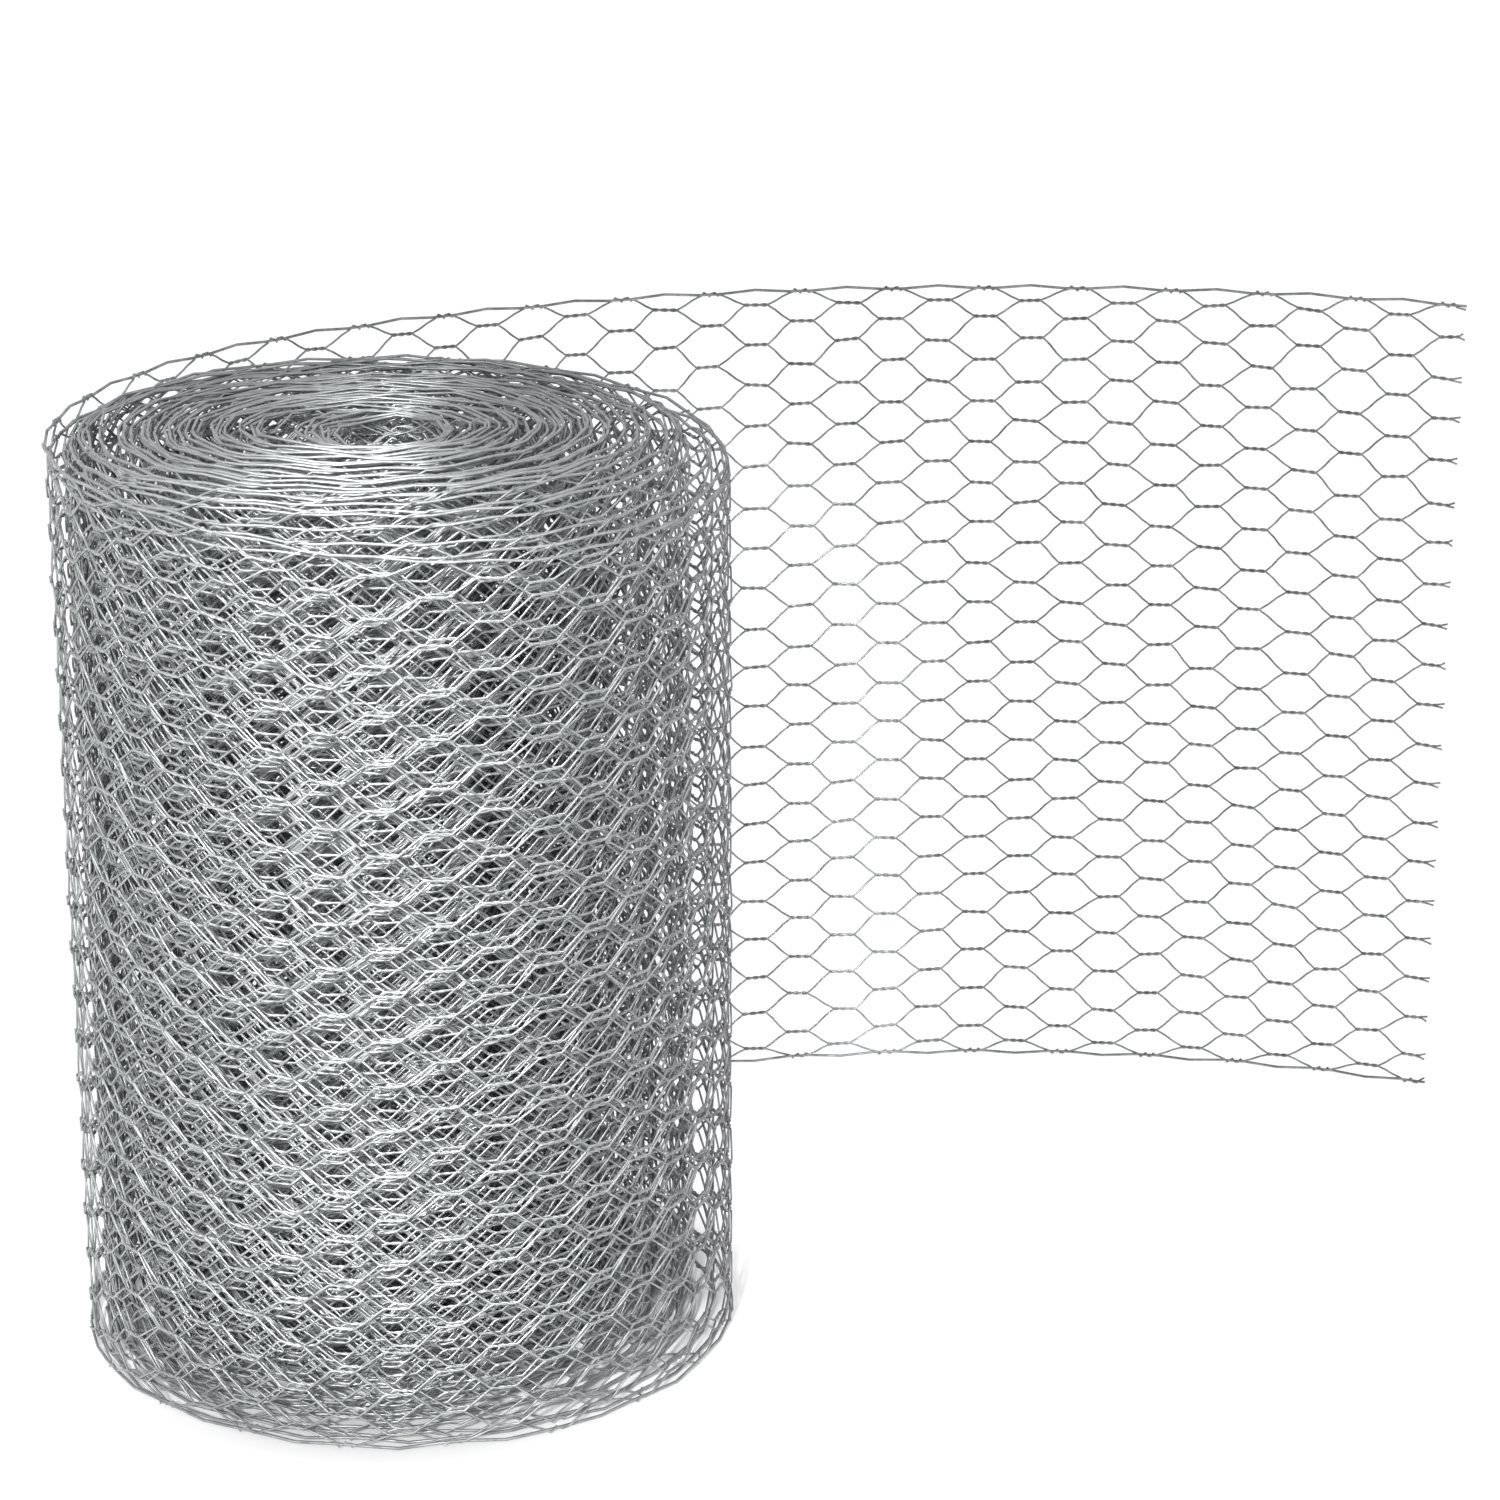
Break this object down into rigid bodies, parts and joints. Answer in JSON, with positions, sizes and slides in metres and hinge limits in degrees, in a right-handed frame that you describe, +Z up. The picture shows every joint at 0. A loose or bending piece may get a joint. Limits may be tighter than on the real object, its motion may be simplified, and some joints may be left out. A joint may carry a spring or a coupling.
{
  "type": "roll of hexagonal wire netting",
  "caption": "Roll of galvanised hexagonal wire netting stood on end, open bore through the middle, its free end drawn off in a curve behind the roll, for fencing and plant guards.",
  "frame": {"origin": "on the roll's axis at the floor it stands on", "axes": "+Z up along the roll's axis, +X towards the cut end of the free netting, -Y the side seen in the picture"},
  "size_m": [0.7982, 0.5289, 0.5],
  "materials": {
    "galvanised_wire": "hot-dip galvanised, dull"
  },
  "bodies": {
    "root": {"roll": "galvanised_wire", "free_1": "galvanised_wire", "free_2": "galvanised_wire", "free_3": "galvanised_wire", "free_4": "galvanised_wire", "free_5": "galvanised_wire", "free_6": "galvanised_wire", "free_7": "galvanised_wire"}
  },
  "joints": []
}
